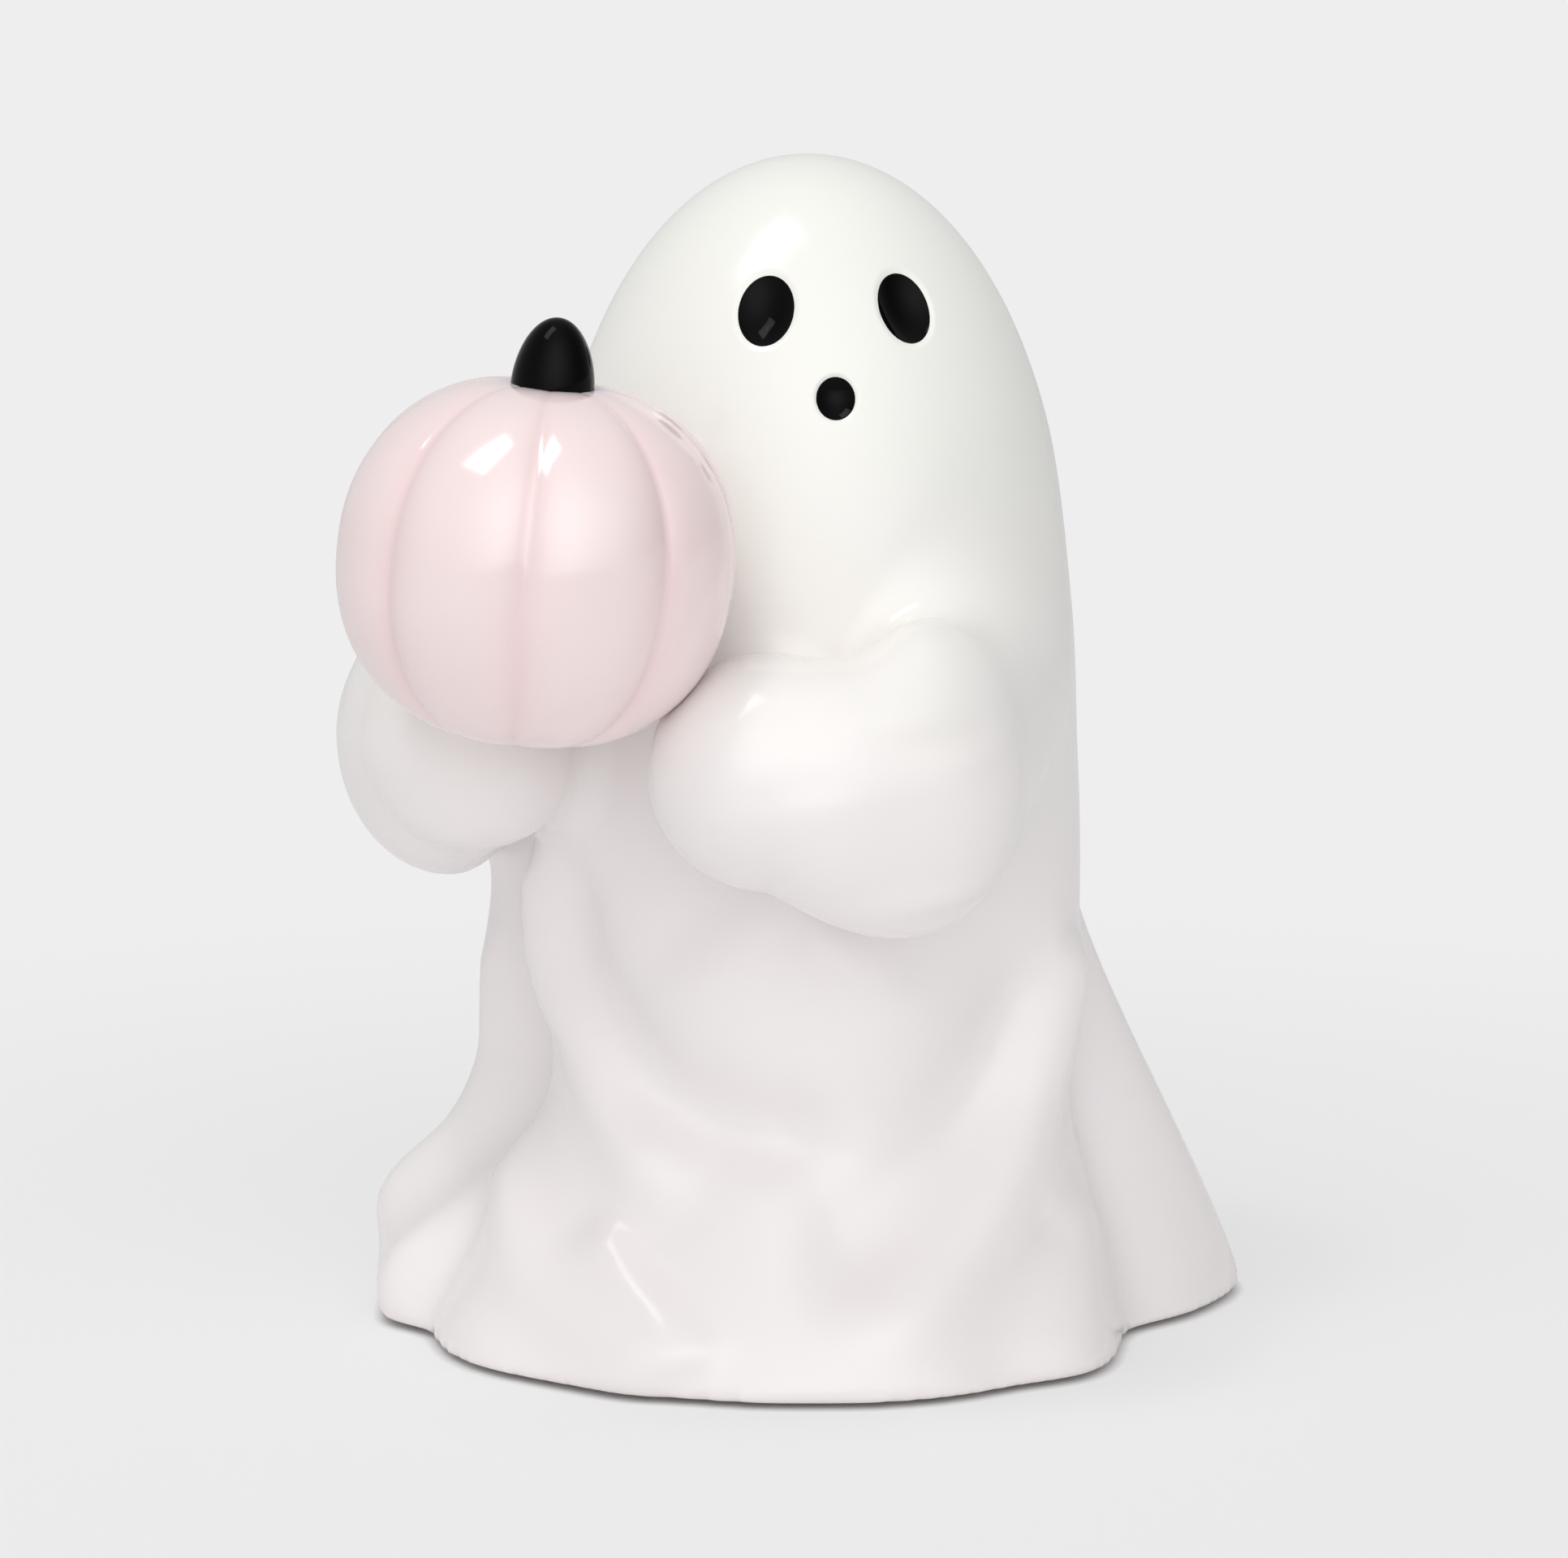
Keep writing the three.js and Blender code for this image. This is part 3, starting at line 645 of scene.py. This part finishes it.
def hollowSheet():
    crown = ghost["height"] - ghost["wall"]
    rows = sheetRows(hollow["domeRows"], hollow["skirtRows"], 0, crown, ghost["floor"])
    inside = addSheetShell("sheetHollow", hollow["segments"], rows, ghost["wall"])
    cutters = [addDisc(toFrame([0, 0, 0]), ghost["vent"] * mm, 3 * ghost["floor"] * mm)]
    for low, high in padBoxes:
        radius = (high.x - low.x) / 2 + ghost["padGap"] * mm
        bed = high.z + ghost["padGap"] * mm
        depth = hollow["bedDepth"] * mm
        centre = ((low.x + high.x) / 2, (low.y + high.y) / 2, bed - depth / 2)
        cutters.append(addDisc(centre, radius, depth))
    choose(cutters[0])
    for cutter in cutters:
        cutter.select_set(True)
    bpy.ops.object.join()
    applyModifier(sheet, "TRIANGULATE")
    for cutter in (inside, cutters[0]):
        applyModifier(sheet, "BOOLEAN", operation="DIFFERENCE", solver="MANIFOLD", object=cutter)
        bpy.data.objects.remove(cutter)


hollowSheet()
smoothFaces(sheet)
print("sheet hollowed:", len(sheet.data.polygons), "faces")


def hollowPumpkin():
    applyModifier(pumpkinPiece, "SOLIDIFY", thickness=pumpkin["wall"] * mm, offset=-1)
    deselectAll()
    under = pumpkinToFrame([[0, 0, -pumpkin["halfHeight"]]])[0]
    bpy.ops.mesh.primitive_cylinder_add(
        vertices=pumpkin["drainSegments"], radius=pumpkin["drain"] * mm, depth=pumpkin["halfHeight"] * mm,
        location=under, rotation=(0, math.radians(pumpkin["lean"]), 0))
    drain = bpy.context.object
    applyModifier(pumpkinPiece, "BOOLEAN", operation="DIFFERENCE", solver="MANIFOLD", object=drain)
    bpy.data.objects.remove(drain)


hollowPumpkin()
smoothFaces(pumpkinPiece)
print("pumpkin hollowed:", len(pumpkinPiece.data.polygons), "faces")

# Stem: a blunt nub that sits in the crown's dimple
stem = {
    "radius": 5.1, "height": 8.8, "bluntness": 1.9, "foot": 2.0, "footShare": 0.25,
    "segments": 96, "rows": 48,
}


def addStem():
    rows = stem["rows"]
    piece, ring, turn = addRings("stemNub", stem["segments"], rows)
    share = 1 - ring / rows
    dip = pumpkin["halfHeight"] - pumpkin["crownDip"]
    footShare = stem["footShare"]
    rise = np.sin(bounded((share - footShare) / (1 - footShare), 0, 1) * math.pi / 2)
    radius = stem["radius"] * np.sqrt(np.maximum(1 - rise ** stem["bluntness"], 0))
    height = dip + stem["height"] * rise
    low = share < footShare
    radius = np.where(low, stem["radius"] * np.sqrt(share / footShare), radius)
    height = np.where(low, dip - stem["foot"] * np.sqrt(np.maximum(1 - share / footShare, 0)), height)
    movePoints(piece, pumpkinToFrame(around(np.degrees(turn), radius, height)))
    faceOutwards(piece)
    smoothFaces(piece)
    return piece


stemPiece = addStem()
print("stem shaped")


# Felt pads under the base, with softly rounded edges
padEdge = {"width": 0.15, "segments": 3, "angle": 40, "padSegments": 96}


def addPad(number):
    low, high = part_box(f"foot_pad_{number}")
    deselectAll()
    bpy.ops.mesh.primitive_cylinder_add(
        vertices=padEdge["padSegments"], radius=(high.x - low.x) / 2, depth=high.z - low.z,
        location=(low + high) / 2)
    piece = rename(bpy.context.object, f"feltPad{number}")
    bpy.ops.object.transform_apply(location=True, rotation=True, scale=True)
    applyModifier(
        piece, "BEVEL", width=padEdge["width"] * mm, segments=padEdge["segments"], limit_method="ANGLE")
    choose(piece)
    bpy.ops.object.shade_smooth_by_angle(angle=math.radians(padEdge["angle"]))
    return piece


pads = [addPad(number) for number in (1, 2, 3, 4)]
print("pads made")


# Materials
def linearColour(hexColour):
    parts = [int(hexColour[start:start + 2], 16) / 255 for start in (1, 3, 5)]
    linear = [part / 12.92 if part <= 0.04045 else ((part + 0.055) / 1.055) ** 2.4 for part in parts]
    return (*linear, 1)


def addNode(tree, kind, settings=None, inputs=None):
    node = tree.nodes.new(kind)
    for key, value in (settings or {}).items():
        setattr(node, key, value)
    for key, value in (inputs or {}).items():
        if isinstance(value, bpy.types.NodeSocket):
            tree.links.new(value, node.inputs[key])
        else:
            node.inputs[key].default_value = value
    return node


def newMaterial(name):
    material = bpy.data.materials.new(name)
    material.use_nodes = True
    tree = material.node_tree
    tree.nodes.clear()
    shader = addNode(tree, "ShaderNodeBsdfPrincipled")
    addNode(tree, "ShaderNodeOutputMaterial", inputs={"Surface": shader.outputs["BSDF"]})
    coordinates = addNode(tree, "ShaderNodeTexCoord")
    return material, tree, shader, coordinates.outputs["Object"]


# White gloss glaze on earthenware: a glassy skin with slow, shallow waves, faintly pink on the skirt,
# faintly green on the head and a touch warmer where it is thin
whiteGlaze = {
    "skirt": "#f8f3f4", "head": "#f5f6f1", "skirtHeight": 60, "headHeight": 120, "thin": "#f2eee8",
    "thinning": 0.4, "cloudMm": 30, "waveMm": 9, "waveDepthMm": 0.012, "roughness": 0.17, "ior": 1.5,
}


def makeWhiteGlaze():
    material, tree, shader, place = newMaterial("whiteGlossGlaze")
    cloud = addNode(tree, "ShaderNodeTexNoise", inputs={
        "Vector": place, "Scale": 1000 / whiteGlaze["cloudMm"], "Detail": 2})
    height = addNode(tree, "ShaderNodeSeparateXYZ", inputs={0: place}).outputs["Z"]
    rise = addNode(tree, "ShaderNodeMapRange", {"interpolation_type": "SMOOTHSTEP"}, {
        "Value": height,
        "From Min": whiteGlaze["skirtHeight"] * mm, "From Max": whiteGlaze["headHeight"] * mm})
    thick = addNode(tree, "ShaderNodeMix", {"data_type": "RGBA"}, {
        "Factor": rise.outputs["Result"],
        "A": linearColour(whiteGlaze["skirt"]), "B": linearColour(whiteGlaze["head"])})
    thinner = addNode(tree, "ShaderNodeMath", {"operation": "MULTIPLY"}, {
        0: cloud.outputs["Fac"], 1: whiteGlaze["thinning"]})
    colour = addNode(tree, "ShaderNodeMix", {"data_type": "RGBA"}, {
        "Factor": thinner.outputs[0],
        "A": thick.outputs["Result"], "B": linearColour(whiteGlaze["thin"])})
    wave = addNode(tree, "ShaderNodeTexNoise", inputs={
        "Vector": place, "Scale": 1000 / whiteGlaze["waveMm"], "Detail": 1})
    bump = addNode(tree, "ShaderNodeBump", inputs={
        "Height": wave.outputs["Fac"], "Distance": whiteGlaze["waveDepthMm"] * mm, "Strength": 1.0})
    shader.inputs["Roughness"].default_value = whiteGlaze["roughness"]
    shader.inputs["IOR"].default_value = whiteGlaze["ior"]
    tree.links.new(colour.outputs["Result"], shader.inputs["Base Color"])
    tree.links.new(bump.outputs["Normal"], shader.inputs["Normal"])
    return material


# Unglazed earthenware of the base and the inside: dry, chalky white with fine grain
bareClay = {
    "pale": "#efe9e1", "dark": "#e2d9ce", "grainMm": 0.6, "grainDepthMm": 0.03, "grainStrength": 0.6,
    "roughness": 0.85, "baseBelow": 0.3, "crownMargin": 1,
}


def makeBareClay():
    material, tree, shader, place = newMaterial("bareEarthenware")
    grain = addNode(tree, "ShaderNodeTexNoise", inputs={
        "Vector": place, "Scale": 1000 / bareClay["grainMm"], "Detail": 4})
    colour = addNode(tree, "ShaderNodeMix", {"data_type": "RGBA"}, {
        "Factor": grain.outputs["Fac"],
        "A": linearColour(bareClay["pale"]), "B": linearColour(bareClay["dark"])})
    bump = addNode(tree, "ShaderNodeBump", inputs={
        "Height": grain.outputs["Fac"],
        "Distance": bareClay["grainDepthMm"] * mm, "Strength": bareClay["grainStrength"]})
    shader.inputs["Roughness"].default_value = bareClay["roughness"]
    tree.links.new(colour.outputs["Result"], shader.inputs["Base Color"])
    tree.links.new(bump.outputs["Normal"], shader.inputs["Normal"])
    return material


# Pale pink gloss glaze: a random cloud of tone, a darker pink in the grooves that is painted shade, and
# lilac around the crown's dimple
pinkGlaze = {
    "rib": "#f9e8e7", "groove": "#f5dcdc", "crown": "#e6dbe8",
    "crownMm": 8, "crownCore": 0.55, "crownShare": 0.8, "cloudMm": 16, "cloudShare": 0.35,
    "waveMm": 6, "waveDepthMm": 0.012, "roughness": 0.13, "ior": 1.6, "shine": 0.9,
}


def makePinkGlaze():
    material, tree, shader, place = newMaterial("pinkGlossGlaze")
    groove = addNode(tree, "ShaderNodeAttribute", {"attribute_name": "groove"})
    cloud = addNode(tree, "ShaderNodeTexNoise", inputs={
        "Vector": place, "Scale": 1000 / pinkGlaze["cloudMm"], "Detail": 2})
    # Painted shade: the groove depth, plus a share of the random cloud, mixes the pink towards the darker
    # groove colour
    cloudAndGrooveShade = addNode(tree, "ShaderNodeMath", {"operation": "MULTIPLY_ADD"}, {
        0: cloud.outputs["Fac"], 1: pinkGlaze["cloudShare"], 2: groove.outputs["Fac"]})
    colour = addNode(tree, "ShaderNodeMix", {"data_type": "RGBA"}, {
        "Factor": cloudAndGrooveShade.outputs[0],
        "A": linearColour(pinkGlaze["rib"]), "B": linearColour(pinkGlaze["groove"])})
    crown = pumpkinToFrame([[0, 0, pumpkin["halfHeight"] - pumpkin["crownDip"]]])[0]
    away = addNode(tree, "ShaderNodeVectorMath", {"operation": "DISTANCE"}, {0: place, 1: tuple(crown)})
    atCrown = addNode(tree, "ShaderNodeMapRange", {"interpolation_type": "SMOOTHSTEP"}, {
        "Value": away.outputs["Value"],
        "From Min": pinkGlaze["crownMm"] * mm * pinkGlaze["crownCore"],
        "From Max": pinkGlaze["crownMm"] * mm, "To Min": pinkGlaze["crownShare"], "To Max": 0.0})
    lilac = addNode(tree, "ShaderNodeMix", {"data_type": "RGBA"}, {
        "Factor": atCrown.outputs["Result"],
        "A": colour.outputs["Result"], "B": linearColour(pinkGlaze["crown"])})
    wave = addNode(tree, "ShaderNodeTexNoise", inputs={
        "Vector": place, "Scale": 1000 / pinkGlaze["waveMm"], "Detail": 1})
    bump = addNode(tree, "ShaderNodeBump", inputs={
        "Height": wave.outputs["Fac"], "Distance": pinkGlaze["waveDepthMm"] * mm, "Strength": 1.0})
    shader.inputs["Roughness"].default_value = pinkGlaze["roughness"]
    shader.inputs["IOR"].default_value = pinkGlaze["ior"]
    shader.inputs["Specular IOR Level"].default_value = pinkGlaze["shine"]
    tree.links.new(lilac.outputs["Result"], shader.inputs["Base Color"])
    tree.links.new(bump.outputs["Normal"], shader.inputs["Normal"])
    return material


# Black gloss glaze: deep and glassy, with slow waves that bend its highlights
blackGlaze = {
    "deep": "#030304", "thin": "#09090a", "waveMm": 4, "waveDepthMm": 0.01,
    "roughness": 0.08, "ior": 1.52, "shine": 0.08,
}


def makeBlackGlaze():
    material, tree, shader, place = newMaterial("blackGlossGlaze")
    wave = addNode(tree, "ShaderNodeTexNoise", inputs={
        "Vector": place, "Scale": 1000 / blackGlaze["waveMm"], "Detail": 1})
    colour = addNode(tree, "ShaderNodeMix", {"data_type": "RGBA"}, {
        "Factor": wave.outputs["Fac"],
        "A": linearColour(blackGlaze["deep"]), "B": linearColour(blackGlaze["thin"])})
    bump = addNode(tree, "ShaderNodeBump", inputs={
        "Height": wave.outputs["Fac"], "Distance": blackGlaze["waveDepthMm"] * mm, "Strength": 1.0})
    shader.inputs["Roughness"].default_value = blackGlaze["roughness"]
    shader.inputs["IOR"].default_value = blackGlaze["ior"]
    shader.inputs["Specular IOR Level"].default_value = blackGlaze["shine"]
    tree.links.new(colour.outputs["Result"], shader.inputs["Base Color"])
    tree.links.new(bump.outputs["Normal"], shader.inputs["Normal"])
    return material


# Pressed grey felt: matt, with short tangled fibres
felt = {
    "pale": "#c4c0b9", "dark": "#9c978e", "fibreMm": 0.25, "tangle": 1.5,
    "fibreDepthMm": 0.08, "fibreStrength": 0.8, "roughness": 0.95, "sheen": 0.3,
}


def makeFelt():
    material, tree, shader, place = newMaterial("pressedFelt")
    fibre = addNode(tree, "ShaderNodeTexNoise", inputs={
        "Vector": place, "Scale": 1000 / felt["fibreMm"], "Detail": 5, "Distortion": felt["tangle"]})
    colour = addNode(tree, "ShaderNodeMix", {"data_type": "RGBA"}, {
        "Factor": fibre.outputs["Fac"], "A": linearColour(felt["pale"]), "B": linearColour(felt["dark"])})
    bump = addNode(tree, "ShaderNodeBump", inputs={
        "Height": fibre.outputs["Fac"],
        "Distance": felt["fibreDepthMm"] * mm, "Strength": felt["fibreStrength"]})
    shader.inputs["Roughness"].default_value = felt["roughness"]
    shader.inputs["Sheen Weight"].default_value = felt["sheen"]
    tree.links.new(colour.outputs["Result"], shader.inputs["Base Color"])
    tree.links.new(bump.outputs["Normal"], shader.inputs["Normal"])
    return material


def finishWith(piece, slot, *materials):
    piece.data.materials.clear()
    for material in materials:
        piece.data.materials.append(material)
    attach(piece, "root")


white, pink, black, clay = makeWhiteGlaze(), makePinkGlaze(), makeBlackGlaze(), makeBareClay()


# Underside and hollow stay unglazed
def leaveClayBare(piece, isBare):
    for polygon in piece.data.polygons:
        polygon.material_index = 1 if isBare(fromFrame(polygon.center), polygon.normal) else 0


finishWith(sheet, "white_glaze", white, clay)


def insideSheet(centre, normal):
    if centre[2] < bareClay["baseBelow"]:
        return True
    fromAxis = math.hypot(centre[0], centre[1])
    inward = normal[0] * centre[0] + normal[1] * centre[1] < 0
    underCrown = centre[2] < ghost["height"] - bareClay["crownMargin"]
    return fromAxis < ghost["bodyRadius"] - ghost["wall"] / 2 and inward and underCrown


leaveClayBare(sheet, insideSheet)
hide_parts("ghost_body", "left_arm", "right_arm")
finishWith(pumpkinPiece, "pink_glaze", pink)
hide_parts("pumpkin")
finishWith(stemPiece, "black_glaze", black)
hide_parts("pumpkin_stem")
for name, dimple in dimples.items():
    finishWith(glazes[name], "black_glaze", black)
    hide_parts(dimple["node"])
feltMaterial = makeFelt()
for number, pad in enumerate(pads, start=1):
    finishWith(pad, "felt", feltMaterial)
    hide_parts(f"foot_pad_{number}")
print("materials given")

# Floor and light: an even pale room, brighter in front and dimmer to the right, with one soft box above
# and a little to the left that is brighter in its middle. Each lobe of the room's light is a direction
# that it comes from, how tightly it is gathered, and its level
room = {
    "floorSize": 12, "floor": "#f3f2f3", "shown": "#efeeef",
    "shadowShare": 0.4, "shadowNear": 0.09, "shadowFar": 0.3, "floorLevel": 1.10,
    "contact": 0.0016, "contactSamples": 8,
    "even": 0.77,
    "lobes": [
        ((1, 0, 0.15), 4, -0.48),
        ((-1, 0, 0.25), 2, -0.10),
        ((0, 0, 1), 2, -0.44),
        ((0.12, -0.88, 0.46), 5, 1.78),
        ((0, 0, 1), 8, 0.45),
        ((0, 1, 0.3), 2, 0.05),
    ],
}
softBox = {
    "towards": (-0.29, -0.2, 0.92), "aim": (0.002, 0.01, 0.08), "distance": 0.9,
    "wide": 0.26, "tall": 0.46, "watts": 1.3, "coreSize": 0.08, "coreWatts": 0.6,
}


# The board takes the object's shadow near by, and fades to an even tone further off
def makeFloor():
    deselectAll()
    bpy.ops.mesh.primitive_plane_add(size=room["floorSize"], location=(0, 0, cadLow.z))
    floor = rename(bpy.context.object, "floor")
    bpy.ops.object.transform_apply(location=True, rotation=True, scale=True)
    material = bpy.data.materials.new("paleBoard")
    material.use_nodes = True
    tree = material.node_tree
    tree.nodes.clear()
    place = addNode(tree, "ShaderNodeTexCoord").outputs["Object"]
    away = addNode(tree, "ShaderNodeVectorMath", {"operation": "DISTANCE"}, {0: place, 1: (0, 0, cadLow.z)})
    share = addNode(tree, "ShaderNodeMapRange", {"interpolation_type": "SMOOTHSTEP"}, {
        "Value": away.outputs["Value"], "From Min": room["shadowNear"], "From Max": room["shadowFar"],
        "To Min": room["shadowShare"], "To Max": 0.0}).outputs["Result"]
    tone = addNode(tree, "ShaderNodeMix", {"data_type": "RGBA"}, {
        "Factor": share, "A": (0, 0, 0, 1), "B": (1, 1, 1, 1)}).outputs["Result"]
    shaded = addNode(tree, "ShaderNodeBsdfDiffuse", inputs={"Color": tone})
    rest = addNode(tree, "ShaderNodeMath", {"operation": "MULTIPLY_ADD"}, {
        0: share, 1: -room["floorLevel"], 2: 1.0})
    uncovered = addNode(tree, "ShaderNodeAmbientOcclusion", {"samples": room["contactSamples"]}, {
        "Distance": room["contact"]})
    strength = addNode(tree, "ShaderNodeMath", {"operation": "MULTIPLY"}, {
        0: rest.outputs[0], 1: uncovered.outputs["AO"]})
    glow = addNode(tree, "ShaderNodeEmission", inputs={
        "Color": linearColour(room["shown"]), "Strength": strength.outputs[0]})
    shown = addNode(tree, "ShaderNodeAddShader", inputs={
        0: shaded.outputs["BSDF"], 1: glow.outputs["Emission"]})
    board = addNode(tree, "ShaderNodeBsdfDiffuse", inputs={"Color": linearColour(room["floor"])})
    path = addNode(tree, "ShaderNodeLightPath")
    mix = addNode(tree, "ShaderNodeMixShader", inputs={
        "Fac": path.outputs["Is Camera Ray"], 1: board.outputs["BSDF"], 2: shown.outputs["Shader"]})
    addNode(tree, "ShaderNodeOutputMaterial", inputs={"Surface": mix.outputs["Shader"]})
    floor.data.materials.append(material)


def makeWorld():
    world = bpy.data.worlds.new("room")
    world.use_nodes = True
    bpy.context.scene.world = world
    tree = world.node_tree
    tree.nodes.clear()
    towards = addNode(tree, "ShaderNodeTexCoord").outputs["Generated"]
    level = room["even"]
    for direction, power, amount in room["lobes"]:
        facing = addNode(tree, "ShaderNodeVectorMath", {"operation": "DOT_PRODUCT"}, {
            0: towards, 1: tuple(Vector(direction).normalized())})
        front = addNode(tree, "ShaderNodeMath", {"operation": "MAXIMUM"}, {
            0: facing.outputs["Value"], 1: 0.0})
        lobe = addNode(tree, "ShaderNodeMath", {"operation": "POWER"}, {0: front.outputs[0], 1: power})
        level = addNode(tree, "ShaderNodeMath", {"operation": "MULTIPLY_ADD"}, {
            0: lobe.outputs[0], 1: amount, 2: level}).outputs[0]
    light = addNode(tree, "ShaderNodeBackground", inputs={"Strength": level})
    shown = addNode(tree, "ShaderNodeBackground", inputs={
        "Color": linearColour(room["shown"]), "Strength": 1.0})
    path = addNode(tree, "ShaderNodeLightPath")
    mix = addNode(tree, "ShaderNodeMixShader", inputs={
        "Fac": path.outputs["Is Camera Ray"],
        1: light.outputs["Background"], 2: shown.outputs["Background"]})
    addNode(tree, "ShaderNodeOutputWorld", inputs={"Surface": mix.outputs["Shader"]})


def addPanel(wide, tall, watts):
    back = Vector(softBox["towards"]).normalized()
    bpy.ops.object.light_add(type="AREA", location=Vector(softBox["aim"]) + back * softBox["distance"])
    panel = bpy.context.object
    panel.rotation_euler = (-back).to_track_quat("-Z", "Y").to_euler()
    panel.data.shape = "RECTANGLE"
    panel.data.size = wide
    panel.data.size_y = tall
    panel.data.energy = watts


makeFloor()
makeWorld()
addPanel(softBox["wide"], softBox["tall"], softBox["watts"])
addPanel(softBox["coreSize"], softBox["coreSize"], softBox["coreWatts"])
bpy.context.scene.view_settings.view_transform = "Standard"
print("floor and light set")

deselectAll()
